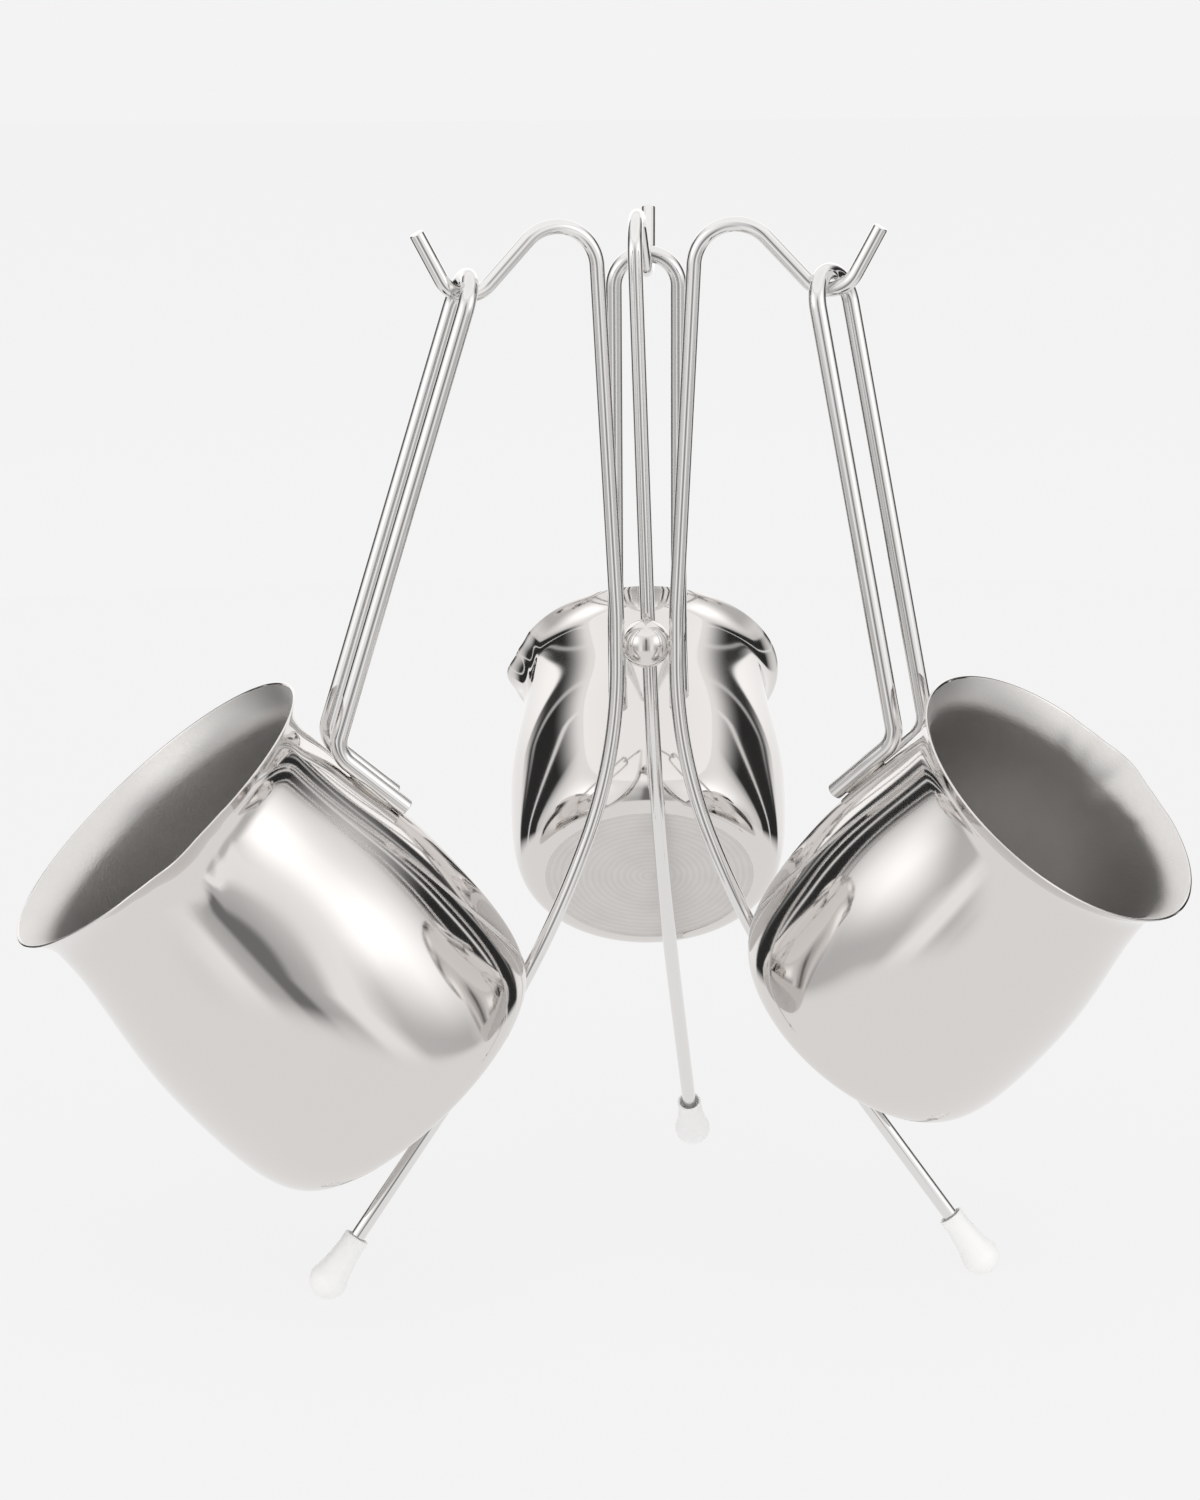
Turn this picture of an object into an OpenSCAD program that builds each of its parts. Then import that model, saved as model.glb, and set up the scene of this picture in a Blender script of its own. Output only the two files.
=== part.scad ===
// Three-arm wire stand that carries three long-handled steel coffee pots.
// The origin is on the table, under the middle of the ball, with +X to the right and +Y to the back.

/* [Stand] */
// Diameter of the stand wire
wire_d = 4; // [3.5:0.1:4.5]
// Diameter of the ball that the three wires are welded to
ball_d = 13; // [11:0.5:16]
// Height of the middle of the ball above the table
ball_h = 173; // [160:1:190]
// Length of the straight post between the ball and the arch of each arm
post_l = 89; // [80:1:100]
// Outward lean of the posts above the ball, in degrees
post_lean = 3; // [2:0.5:6]
// Splay of the straight part of each leg, in degrees from upright
leg_splay = 36.5; // [34:0.5:39]
// Radius of the arch at the top of each arm
arch_r = 11; // [9:0.5:13]
// Radius of the valley that a pot hangs in
valley_r = 8; // [7:0.5:10]
// Straight slope between the arch and the valley
slope_l = 15; // [12:0.5:18]
// Slope of that straight part, in degrees below level
slope_a = 46; // [40:1:50]
// Length of the straight tip past the valley
tip_l = 13.5; // [11:0.5:16]
// Angle of the tip above level, in degrees
tip_a = 62; // [50:1:70]
// Direction of the left arm, seen from above, in degrees from +X
left_arm_dir = 199; // [190:1:210]
// Direction of the right arm
right_arm_dir = -10; // [-30:1:-5]
// Direction of the back arm
back_arm_dir = 84.5; // [80:0.5:95]
// Sideways lean of the left arm about the ball, in degrees
left_arm_lean = 0; // [-2:0.5:2]
// Sideways lean of the right arm
right_arm_lean = 0; // [-2:0.5:2]
// Sideways lean of the back arm
back_arm_lean = 2; // [-2:0.5:3]

/* [Foot caps] */
// Diameter of the round end of a foot cap
cap_d = 10.4; // [9.5:0.1:12]
// Diameter of the collar at the top of a foot cap
cap_collar_d = 7; // [6.5:0.1:8]
// Length of a foot cap from its collar to the middle of its round end
cap_l = 14; // [11:0.5:16]

/* [Pots] */
// Widest diameter of the left pot
left_pot_d = 97; // [90:1:100]
// Height of the left pot
left_pot_h = 102; // [95:1:105]
// Direction that the left pot hangs in, seen from above
left_pot_dir = 193; // [185:1:205]
// Widest diameter of the right pot
right_pot_d = 85; // [81:1:91]
// Height of the right pot
right_pot_h = 90; // [86:1:96]
// Direction that the right pot hangs in
right_pot_dir = -32; // [-42:1:-28]
// Widest diameter of the back pot
back_pot_d = 79; // [76:1:86]
// Height of the back pot
back_pot_h = 75; // [74:1:84]
// Direction that the back pot hangs in
back_pot_dir = 90; // [84:1:96]
// Thickness of the pots' steel
wall = 0.9; // [0.7:0.1:1.2]

/* [Handles] */
// Diameter of the handle wire
handle_d = 4.6; // [4.2:0.1:5]
// Distance between the two legs of a handle, middle to middle
handle_gap = 17.8; // [16:0.2:20]
// Straight length of the left pot's handle between its bend and its loop
left_handle_l = 113; // [107:1:118]
// The same length on the right pot
right_handle_l = 109; // [104:1:114]
// The same length on the back pot
back_handle_l = 96; // [91:1:101]
// Angle between the left pot's handle and the pot's own axis, in degrees
left_handle_a = 58; // [55:1:62]
// The same angle on the right pot
right_handle_a = 52; // [50:1:58]
// The same angle on the back pot
back_handle_a = 57; // [53:1:61]

/* [Hidden] */

// One hair of clearance between a hanging pot and the stand
rest_gap = 0.3;
// How far a cut runs past the face that it opens
over = 1;
wire_fn = 32;
turn_fn = 360;
round_fn = 64;

// ---- stand: bend list of one arm, as [straight length, bend radius, bend angle] rows ----
seat_l = 5;
knee_r = 130;
knee_a = 22;
knee_l = 2;
shin_r = 250;
// The wires are pressed this far into the ball
ball_bite = 0.3;
ball_off = (ball_d + wire_d) / 2 - ball_bite;
up_rows = [[seat_l, knee_r, -post_lean], [post_l, arch_r, -(90 - post_lean) - slope_a],
    [slope_l, valley_r, slope_a + tip_a], [tip_l, 0, 0]];
shin_drop = ball_h - seat_l - knee_r * sin(knee_a) - knee_l * cos(knee_a)
    - shin_r * (sin(leg_splay) - sin(knee_a));
// A cap's flat under its round end, and its floor under the wire
flat_d = 3;
cap_floor = 1;
foot_z = sqrt(pow(cap_d, 2) - pow(flat_d, 2)) / 2;
shin_l = (shin_drop - foot_z) / cos(leg_splay) - cap_floor;
down_rows = [[seat_l, knee_r, knee_a], [knee_l, shin_r, leg_splay - knee_a], [shin_l, 0, 0]];

// End of a bend list that starts at p with heading a
function step(p, a, row) = let (
        q = p + row[0] * [cos(a), sin(a)],
        s = row[2] < 0 ? -1 : 1,
        c = q + s * row[1] * [-sin(a), cos(a)],
        b = a + row[2])
    [c - s * row[1] * [-sin(b), cos(b)], b];
function walk(p, a, rows, i = 0) = i == len(rows) ? [p, a]
    : let (n = step(p, a, rows[i])) walk(n[0], n[1], rows, i + 1);
// Points along the same list, a few to each row
function trail(p, a, rows, n, i = 0) = i == len(rows) ? []
    : concat([for (k = [1:n]) step(p, a, [rows[i][0] * k / n, rows[i][1], rows[i][2] * k / n])[0]],
        let (e = step(p, a, rows[i])) trail(e[0], e[1], rows, n, i + 1));

// Wire bent in the XY plane, running off along +X. A bend is a hair thicker than the straights,
// and each straight runs a little way into the bends at its ends.
swell = 0.04;
lap = 0.15;
module bent_wire(rows, d, tail = 0, i = 0) {
    row = rows[i];
    a = row[2];
    s = a < 0 ? -1 : 1;
    before = i > 0 ? lap : 0;
    after = a != 0 ? lap : tail;
    translate([-before, 0, 0])
        rotate([0, 90, 0])
            cylinder(d = d, h = row[0] + before + after, $fn = wire_fn);
    if (a != 0)
        translate([row[0], s * row[1], 0])
            rotate(a < 0 ? 90 + a : -90)
                rotate_extrude(angle = abs(a), $fn = turn_fn)
                    translate([row[1], 0])
                        circle(d = d + swell, $fn = wire_fn);
    if (i + 1 < len(rows)) {
        next = step([0, 0], 0, row);
        translate([next[0][0], next[0][1], 0])
            rotate(next[1])
                bent_wire(rows, d, tail, i + 1);
    }
}

// Frame of an arm: turned to its direction and leant sideways about the ball
module on_arm(dir, lean) {
    rotate(dir)
        translate([0, 0, ball_h])
            rotate([-lean, 0, 0])
                children();
}
function arm_point(p, dir, lean) = let (up = p[1] - ball_h)
    [p[0] * cos(dir) - up * sin(lean) * sin(dir), p[0] * sin(dir) + up * sin(lean) * cos(dir),
        ball_h + up * cos(lean)];

module arm(dir, lean) {
    on_arm(dir, lean)
        translate([ball_off, 0, 0])
            rotate([90, 0, 0]) {
                rotate(90)
                    bent_wire(up_rows, wire_d);
                rotate(-90)
                    bent_wire(down_rows, wire_d);
                rotate([90, 0, 0])
                    cylinder(d = wire_d + swell, h = seat_l, center = true, $fn = wire_fn);
            }
}

// ---- ball and its welds ----
weld_d = 5;
weld_in = 0.2;
ball_fn = 128;
module seat_wire() {
    translate([ball_off, 0, -ball_d])
        cylinder(d = wire_d + swell, h = 2 * ball_d, $fn = ball_fn);
}
module ball() {
    difference() {
        translate([0, 0, ball_h])
            sphere(d = ball_d, $fn = ball_fn);
        on_arm(left_arm_dir, left_arm_lean)
            seat_wire();
        on_arm(right_arm_dir, right_arm_lean)
            seat_wire();
        on_arm(back_arm_dir, back_arm_lean)
            seat_wire();
    }
}
module ball_weld(dir, lean) {
    on_arm(dir, lean)
        difference() {
            translate([ball_d / 2 - weld_in, 0, 0])
                sphere(d = weld_d, $fn = ball_fn);
            sphere(d = ball_d, $fn = ball_fn);
            seat_wire();
        }
}

// ---- foot caps, on the ends of the legs ----
leg_end = walk([ball_off, ball_h], -90, down_rows)[0];
cap_mouth_l = 3;
cap_ease = 0.1;
cap_lip = 0.7;
cap_mouth_d = cap_collar_d - 2 * cap_lip;
cap_taper = 1.2;
cap_mid = leg_end + cap_floor * [sin(leg_splay), -cos(leg_splay)];
module foot_cap(dir, lean) {
    difference() {
        on_arm(dir, lean)
            translate([cap_mid[0], 0, cap_mid[1] - ball_h])
                rotate([0, -leg_splay, 0])
                    difference() {
                        union() {
                            sphere(d = cap_d, $fn = round_fn);
                            cylinder(d1 = cap_d - cap_taper, d2 = cap_collar_d, h = cap_l, $fn = round_fn);
                        }
                        translate([0, 0, cap_floor])
                            cylinder(d = wire_d + cap_ease, h = cap_l, $fn = wire_fn);
                        translate([0, 0, cap_l - cap_mouth_l])
                            cylinder(d = cap_mouth_d, h = cap_l, $fn = round_fn);
                    }
        translate([0, 0, -cap_d])
            cylinder(r = 2 * ball_h, h = cap_d, $fn = round_fn);
    }
}

// ---- pots: wall curve from the edge of the flat base up to the rim ----
base_f = 0.76;
belly_z = 0.39;
neck_f = 0.89;
neck_z = 0.90;
rim_f = 1.0;
// Pulls of the curve's tangents, as shares of the radius or the height
base_pull = 0.19;
belly_drop = 0.26;
belly_rise = 0.22;
neck_drop = 0.17;
neck_rise = 0.05;
lip_in = 0.04;
lip_drop = 0.02;
function bez(p, n) = [for (i = [1:n]) let (t = i / n, u = 1 - t)
    u * u * u * p[0] + 3 * t * u * u * p[1] + 3 * t * t * u * p[2] + t * t * t * p[3]];
function wall_curve(d, h, e) = let (
        r = d / 2,
        base = [base_f * r - e / 2, e],
        belly = [r - e, belly_z * h],
        neck = [neck_f * r - e, neck_z * h],
        rim = [rim_f * r - e, h])
    concat([base],
        bez([base, base + [base_pull * r, 0], belly - [0, belly_drop * h], belly], 7),
        bez([belly, belly + [0, belly_rise * h], neck - [0, neck_drop * h], neck], 6),
        bez([neck, neck + [0, neck_rise * h], rim - [lip_in * r, lip_drop * h], rim], 4));
function flip(list) = [for (i = [len(list) - 1:-1:0]) list[i]];
function wall_r(d, h, z) = lookup(z, [for (p = wall_curve(d, h, 0)) [p[1], p[0]]]);

module revolve(curve, bottom) {
    rotate_extrude($fn = turn_fn)
        polygon(concat([[0, bottom]], curve, [[0, curve[len(curve) - 1][1]]]));
}
// The spout is a cone pressed out of the neck, from its point up to the rim
spout_r = 9;
spout_depth = 20;
spout_tip_r = 1.5;
spout_in = 2.2;
spout_lean = 8;
spout_over = 4;
module spout_cone(d, h, e) {
    neck_r = neck_f * d / 2;
    translate([0, neck_r - spout_in, h - spout_depth])
        rotate([-spout_lean, 0, 0])
            cylinder(r1 = spout_tip_r - e, r2 = spout_r - e, h = spout_depth + spout_over, $fn = round_fn);
}
module pot_shell(d, h) {
    difference() {
        union() {
            revolve(wall_curve(d, h, 0), 0);
            intersection() {
                spout_cone(d, h, 0);
                cylinder(r = d, h = h, $fn = round_fn);
            }
        }
        revolve(concat(wall_curve(d, h, wall), [[rim_f * d / 2 - wall, h + over]]), wall);
        spout_cone(d, h, wall);
    }
}

// ---- handles: a foot on the wall, a bend, a long straight leg, and the loop that joins both legs ----
foot_l = 20;
foot_top = 23;
bend_r = 7;
weld_gap = 0.25;
// How finely the wall under a foot is searched for its highest point
bulge_steps = 10;
half_gap = handle_gap / 2;
function side_x(d, h, z) = -sqrt(pow(wall_r(d, h, z), 2) - pow(half_gap, 2));
function foot_low(d, h) = [side_x(d, h, h - foot_top - foot_l), h - foot_top - foot_l];
function foot_dir(d, h) = let (v = [side_x(d, h, h - foot_top), h - foot_top] - foot_low(d, h))
    atan2(v[1], v[0]);
// How far the wall stands out past the straight line under the foot
function foot_bulge(d, h) = let (p = foot_low(d, h), a = foot_dir(d, h))
    max([for (k = [0:bulge_steps])
        let (z = h - foot_top - foot_l * k / bulge_steps, v = [side_x(d, h, z), z] - p)
        v * [-sin(a), cos(a)]]);
function foot_start(d, h) = let (a = foot_dir(d, h))
    foot_low(d, h) + (foot_bulge(d, h) + handle_d / 2 + weld_gap) * [-sin(a), cos(a)];
// A grip is the handle's angle to the pot's axis and its straight length
function handle_rows(d, h, grip) =
    [[foot_l, bend_r, 90 + grip[0] - foot_dir(d, h)], [grip[1], 0, 0]];
// Middle of the loop's top wire, in the pot's own XZ plane
function loop_top(d, h, grip) = let (e = walk(foot_start(d, h), foot_dir(d, h), handle_rows(d, h, grip)))
    e[0] + half_gap * [cos(e[1]), sin(e[1])];

module handle(d, h, grip) {
    start = foot_start(d, h);
    end = walk(start, foot_dir(d, h), handle_rows(d, h, grip));
    for (y = [-half_gap, half_gap])
        translate([start[0], y, start[1]])
            rotate([90, 0, 0])
                rotate(foot_dir(d, h))
                    bent_wire(handle_rows(d, h, grip), handle_d, lap);
    translate([end[0][0], 0, end[0][1]])
        rotate([0, -end[1], 0])
            rotate(-90)
                rotate_extrude(angle = 180, $fn = turn_fn)
                    translate([half_gap, 0])
                        circle(d = handle_d + swell, $fn = wire_fn);
}
weld_end = 2.5;
weld_l = foot_l - 2 * weld_end;
weld_sink = 0.4;
weld_trim = 0.6;
module handle_weld(d, h, side) {
    start = foot_start(d, h);
    a = foot_dir(d, h);
    difference() {
        translate([start[0], side * half_gap, start[1]])
            rotate([0, 90 - a, 0])
                translate([handle_d / 2 - weld_sink, 0, weld_end])
                    cylinder(d = handle_d - weld_trim, h = weld_l, $fn = wire_fn);
        revolve(wall_curve(d, h, 0), 0);
        translate([start[0], side * half_gap, start[1]])
            rotate([0, 90 - a, 0])
                cylinder(d = handle_d, h = foot_l, $fn = wire_fn);
    }
}

// ---- hanging: the loop sits in the valley and the pot tilts until it rests on its leg ----
valley_rows = [up_rows[0], up_rows[1], [slope_l, valley_r, slope_a]];
valley = walk([ball_off, ball_h], 90, valley_rows)[0];
hang_r = valley[0];
hang_z = valley[1] + (wire_d + handle_d) / 2 + rest_gap;
leg_steps = 24;
leg_pts = trail([ball_off, ball_h], -90, down_rows, leg_steps);

function dist_seg(p, a, b) = let (ab = b - a, t = max(0, min(1, ((p - a) * ab) / (ab * ab))))
    norm(p - a - t * ab);
function outline(d, h) = concat([[0, 0]], wall_curve(d, h, 0));
// Signed distance from a point, as [radius, height] in the pot's frame, to the pot's outline
function clear_of(p, line, d, h) =
    (p[1] > 0 && p[1] < h && p[0] < wall_r(d, h, p[1]) ? -1 : 1)
    * min([for (i = [1:len(line) - 1]) dist_seg(p, line[i - 1], line[i])]);
function in_pot(q, base, out, up) = let (v = q - base, z = v * up) [norm(v - z * up), z];
// The loop's top wire rests on this point of the hook
function hook_point(arm) = arm_point([hang_r, hang_z], arm[0], arm[1]);
function leg_clear(tilt, line, legs, d, h, grip, arm, dir) = let (
        u = [cos(dir), sin(dir), 0],
        up = sin(tilt) * u + [0, 0, cos(tilt)],
        out = cos(tilt) * u - [0, 0, sin(tilt)],
        l = loop_top(d, h, grip),
        base = hook_point(arm) - l[0] * out - l[1] * up)
    min([for (p = legs) clear_of(in_pot(p, base, out, up), line, d, h)]) - wire_d / 2;
// Lowest and highest tilt looked at, in degrees, and how often the span is halved
tilt_low = 15;
tilt_high = 65;
tilt_steps = 14;
function solve_tilt(lo, hi, line, legs, d, h, grip, arm, dir, n = tilt_steps) = n == 0 ? lo
    : let (mid = (lo + hi) / 2)
        leg_clear(mid, line, legs, d, h, grip, arm, dir) > rest_gap
            ? solve_tilt(mid, hi, line, legs, d, h, grip, arm, dir, n - 1)
            : solve_tilt(lo, mid, line, legs, d, h, grip, arm, dir, n - 1);
function pot_tilt(d, h, grip, arm, dir) =
    solve_tilt(tilt_low, tilt_high, outline(d, h), [for (p = leg_pts) arm_point(p, arm[0], arm[1])],
        d, h, grip, arm, dir);

module hang(d, h, grip, arm, dir) {
    l = loop_top(d, h, grip);
    translate(hook_point(arm))
        rotate([0, 0, dir])
            rotate([0, pot_tilt(d, h, grip, arm, dir), 0])
                translate([-l[0], 0, -l[1]])
                    children();
}
left_grip = [left_handle_a, left_handle_l];
right_grip = [right_handle_a, right_handle_l];
back_grip = [back_handle_a, back_handle_l];
module hang_left() {
    hang(left_pot_d, left_pot_h, left_grip, [left_arm_dir, left_arm_lean], left_pot_dir)
        children();
}
module hang_right() {
    hang(right_pot_d, right_pot_h, right_grip, [right_arm_dir, right_arm_lean], right_pot_dir)
        children();
}
module hang_back() {
    hang(back_pot_d, back_pot_h, back_grip, [back_arm_dir, back_arm_lean], back_pot_dir)
        children();
}

// ---- sub-parts ----
module left_arm() { color("silver") arm(left_arm_dir, left_arm_lean); }
module right_arm() { color("silver") arm(right_arm_dir, right_arm_lean); }
module back_arm() { color("silver") arm(back_arm_dir, back_arm_lean); }
module centre_ball() { color("gainsboro") ball(); }
module left_arm_weld() { color("darkgray") ball_weld(left_arm_dir, left_arm_lean); }
module right_arm_weld() { color("darkgray") ball_weld(right_arm_dir, right_arm_lean); }
module back_arm_weld() { color("darkgray") ball_weld(back_arm_dir, back_arm_lean); }
module left_foot_cap() { color("white") foot_cap(left_arm_dir, left_arm_lean); }
module right_foot_cap() { color("white") foot_cap(right_arm_dir, right_arm_lean); }
module back_foot_cap() { color("white") foot_cap(back_arm_dir, back_arm_lean); }
module left_pot_shell() { color("silver") hang_left() pot_shell(left_pot_d, left_pot_h); }
module left_pot_handle() { color("lightgray") hang_left() handle(left_pot_d, left_pot_h, left_grip); }
module left_pot_near_weld() { color("darkgray") hang_left() handle_weld(left_pot_d, left_pot_h, 1); }
module left_pot_far_weld() { color("darkgray") hang_left() handle_weld(left_pot_d, left_pot_h, -1); }
module right_pot_shell() { color("silver") hang_right() pot_shell(right_pot_d, right_pot_h); }
module right_pot_handle() { color("lightgray") hang_right() handle(right_pot_d, right_pot_h, right_grip); }
module right_pot_near_weld() { color("darkgray") hang_right() handle_weld(right_pot_d, right_pot_h, 1); }
module right_pot_far_weld() { color("darkgray") hang_right() handle_weld(right_pot_d, right_pot_h, -1); }
module back_pot_shell() { color("silver") hang_back() pot_shell(back_pot_d, back_pot_h); }
module back_pot_handle() { color("lightgray") hang_back() handle(back_pot_d, back_pot_h, back_grip); }
module back_pot_near_weld() { color("darkgray") hang_back() handle_weld(back_pot_d, back_pot_h, 1); }
module back_pot_far_weld() { color("darkgray") hang_back() handle_weld(back_pot_d, back_pot_h, -1); }

left_arm();
right_arm();
back_arm();
centre_ball();
left_arm_weld();
right_arm_weld();
back_arm_weld();
left_foot_cap();
right_foot_cap();
back_foot_cap();
left_pot_shell();
left_pot_handle();
left_pot_near_weld();
left_pot_far_weld();
right_pot_shell();
right_pot_handle();
right_pot_near_weld();
right_pot_far_weld();
back_pot_shell();
back_pot_handle();
back_pot_near_weld();
back_pot_far_weld();
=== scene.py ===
import bpy
import bmesh
from math import ceil, cos, pi, radians, sin
from mathutils import Matrix, Vector, noise


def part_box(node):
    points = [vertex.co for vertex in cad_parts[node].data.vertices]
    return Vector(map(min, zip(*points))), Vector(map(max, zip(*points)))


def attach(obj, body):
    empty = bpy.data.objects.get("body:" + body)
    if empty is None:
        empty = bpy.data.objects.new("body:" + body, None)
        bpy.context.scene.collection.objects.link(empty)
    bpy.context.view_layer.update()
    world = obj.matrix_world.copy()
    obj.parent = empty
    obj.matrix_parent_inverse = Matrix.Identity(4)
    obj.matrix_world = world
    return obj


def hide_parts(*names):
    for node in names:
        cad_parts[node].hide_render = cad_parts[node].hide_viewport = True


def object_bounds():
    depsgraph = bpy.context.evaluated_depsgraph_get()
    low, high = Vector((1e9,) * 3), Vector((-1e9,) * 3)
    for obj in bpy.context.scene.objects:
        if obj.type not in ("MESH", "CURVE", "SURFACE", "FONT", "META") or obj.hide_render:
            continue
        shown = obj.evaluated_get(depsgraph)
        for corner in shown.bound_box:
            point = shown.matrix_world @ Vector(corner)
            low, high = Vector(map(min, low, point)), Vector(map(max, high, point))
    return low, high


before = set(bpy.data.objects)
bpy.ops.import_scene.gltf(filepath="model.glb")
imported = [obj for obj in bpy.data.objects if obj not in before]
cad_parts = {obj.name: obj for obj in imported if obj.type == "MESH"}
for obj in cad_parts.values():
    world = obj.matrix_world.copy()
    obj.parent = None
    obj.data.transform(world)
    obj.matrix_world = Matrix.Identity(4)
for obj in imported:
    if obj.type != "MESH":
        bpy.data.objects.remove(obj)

cadLow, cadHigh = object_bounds()
mm = 0.001
print("frame loaded:", len(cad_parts), "nodes")


def fromHex(code):
    # sRGB hex to the linear colour that a shader wants
    parts = [int(code[i:i + 2], 16) / 255 for i in (1, 3, 5)]
    return [c / 12.92 if c <= 0.04045 else ((c + 0.055) / 1.055) ** 2.4 for c in parts] + [1.0]


def addNode(tree, kind, values=None, links=None, **settings):
    node = tree.nodes.new(kind)
    for key, value in settings.items():
        setattr(node, key, value)
    for socket, value in (values or {}).items():
        node.inputs[socket].default_value = value
    for socket, source in (links or {}).items():
        tree.links.new(source, node.inputs[socket])
    return node


def newMaterial(name):
    material = bpy.data.materials.new(name)
    material.use_nodes = True
    tree = material.node_tree
    tree.nodes.clear()
    out = addNode(tree, "ShaderNodeOutputMaterial")
    return material, tree, out


def smoothStep(x):
    x = max(0.0, min(1.0, x))
    return x * x * (3 - 2 * x)


def finishMesh(name, bm, materials, sharp=38):
    mesh = bpy.data.meshes.new(name)
    bm.normal_update()
    bm.to_mesh(mesh)
    bm.free()
    for material in materials:
        mesh.materials.append(material)
    for face in mesh.polygons:
        face.use_smooth = True
    mesh.set_sharp_from_angle(angle=radians(sharp))
    piece = bpy.data.objects.new(name, mesh)
    bpy.context.scene.collection.objects.link(piece)
    return piece


def settle(piece, matrix):
    # keeps each point's own place, in metres, for the patterns, then moves the mesh into the shared frame
    own = piece.data.attributes.new("ownPlace", "FLOAT_VECTOR", "POINT")
    for vert, spot in zip(piece.data.vertices, own.data):
        spot.vector = vert.co
    piece.data.transform(matrix)


def place(piece, body, slot, *nodes):
    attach(piece, body)
    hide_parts(*nodes)


noiseSpan = {"From Min": 0.3, "From Max": 0.7}  # where most of a noise texture's values lie


def surface(tree, out, finish, roughBy, bumpBy, tintBy=None):
    # what every material shares: uneven roughness, a bump and, with tintBy, two colours in patches
    rough = addNode(tree, "ShaderNodeMapRange",
                    {**noiseSpan, "To Min": finish["roughFrom"], "To Max": finish["roughTo"]},
                    {"Value": roughBy.outputs["Fac"]})
    bump = addNode(tree, "ShaderNodeBump", {"Strength": finish["bump"], "Distance": finish["depthMm"] * mm},
                   {"Height": bumpBy.outputs["Fac"]})
    values = {"IOR": finish["ior"]} if "ior" in finish else {"Metallic": 1.0}
    links = {"Roughness": rough.outputs["Result"], "Normal": bump.outputs["Normal"]}
    if tintBy:
        tint = addNode(tree, "ShaderNodeMix", {6: fromHex(finish["colour"]), 7: fromHex(finish["patches"])},
                       {0: tintBy.outputs["Fac"]}, data_type="RGBA")
        links["Base Color"] = tint.outputs[2]
    else:
        values["Base Color"] = fromHex(finish["colour"])
    shader = addNode(tree, "ShaderNodeBsdfPrincipled", values, links)
    tree.links.new(shader.outputs[0], out.inputs[0])


# Mirror polished 18/10 stainless: buffed after deep drawing, so reflections are crisp but wander
# a little with the drawn sheet, and faint buffing haze softens them unevenly
polish = {"colour": "#DCD9D7", "roughFrom": 0.04, "roughTo": 0.095, "hazeMm": 38, "waveMm": 34,
          "depthMm": 0.05, "bump": 0.6}


def polishedSteel():
    material, tree, out = newMaterial("mirror_polished_stainless")
    at = addNode(tree, "ShaderNodeAttribute", attribute_name="ownPlace")
    haze = addNode(tree, "ShaderNodeTexNoise", {"Scale": 1 / (polish["hazeMm"] * mm), "Detail": 3.0},
                   {"Vector": at.outputs["Vector"]})
    wave = addNode(tree, "ShaderNodeTexNoise", {"Scale": 1 / (polish["waveMm"] * mm), "Detail": 1.0},
                   {"Vector": at.outputs["Vector"]})
    surface(tree, out, polish, haze, wave)
    return material


# Satin stainless inside the pots: fine bead-like grain that scatters light, so it reads as a
# soft grey that darkens with depth and lightens where the mouth flares
satin = {"colour": "#D3D1CF", "patches": "#DFDDDB", "roughFrom": 0.39, "roughTo": 0.5, "grainMm": 0.6,
         "patchMm": 22, "depthMm": 0.08, "bump": 0.5}


def satinSteel():
    material, tree, out = newMaterial("satin_stainless")
    at = addNode(tree, "ShaderNodeAttribute", attribute_name="ownPlace")
    # real grain is about 0.1 mm; it is drawn at 0.6 mm so that it still shows
    grain = addNode(tree, "ShaderNodeTexNoise", {"Scale": 1 / (satin["grainMm"] * mm), "Detail": 2.0},
                    {"Vector": at.outputs["Vector"]})
    patch = addNode(tree, "ShaderNodeTexNoise", {"Scale": 1 / (satin["patchMm"] * mm), "Detail": 2.0},
                    {"Vector": at.outputs["Vector"]})
    surface(tree, out, satin, grain, grain, patch)
    return material


# Turned stainless under the pots: the base is faced on a lathe and left matt, so fine rings
# run round its middle and catch the light
turned = {"colour": "#D1CECC", "patches": "#D7D4D2", "roughFrom": 0.29, "roughTo": 0.46, "ringMm": 1.777,
          "swirlMm": 9, "depthMm": 0.03, "bump": 0.5}


def turnedSteel():
    material, tree, out = newMaterial("turned_matt_stainless")
    at = addNode(tree, "ShaderNodeAttribute", attribute_name="ownPlace")
    # real feed marks are 0.1 to 0.2 mm apart; drawn at 1.8 mm so that they show. A wave texture
    # repeats every twentieth of a full turn, in its own unit
    rings = addNode(tree, "ShaderNodeTexWave",
                    {"Scale": 2 * pi / 20 / (turned["ringMm"] * mm), "Distortion": 1.5, "Detail": 3.0,
                     "Detail Scale": 1.2}, {"Vector": at.outputs["Vector"]},
                    wave_type="RINGS", rings_direction="Z")
    swirl = addNode(tree, "ShaderNodeTexNoise", {"Scale": 1 / (turned["swirlMm"] * mm), "Detail": 4.0},
                    {"Vector": at.outputs["Vector"]})
    surface(tree, out, turned, swirl, rings, rings)
    return material


# Bright drawn stainless wire: pulled through a die and buffed, which leaves hairlines that run
# along the wire and stretch its reflections into long thin streaks
drawn = {"roughFrom": 0.015, "roughTo": 0.085, "lineMm": 0.35, "lineStretch": 0.02, "depthMm": 0.006,
         "bump": 0.4}
drawnStand = {**drawn, "colour": "#E2E1E0"}
drawnHandle = {**drawn, "colour": "#DFDEDD"}


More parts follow.
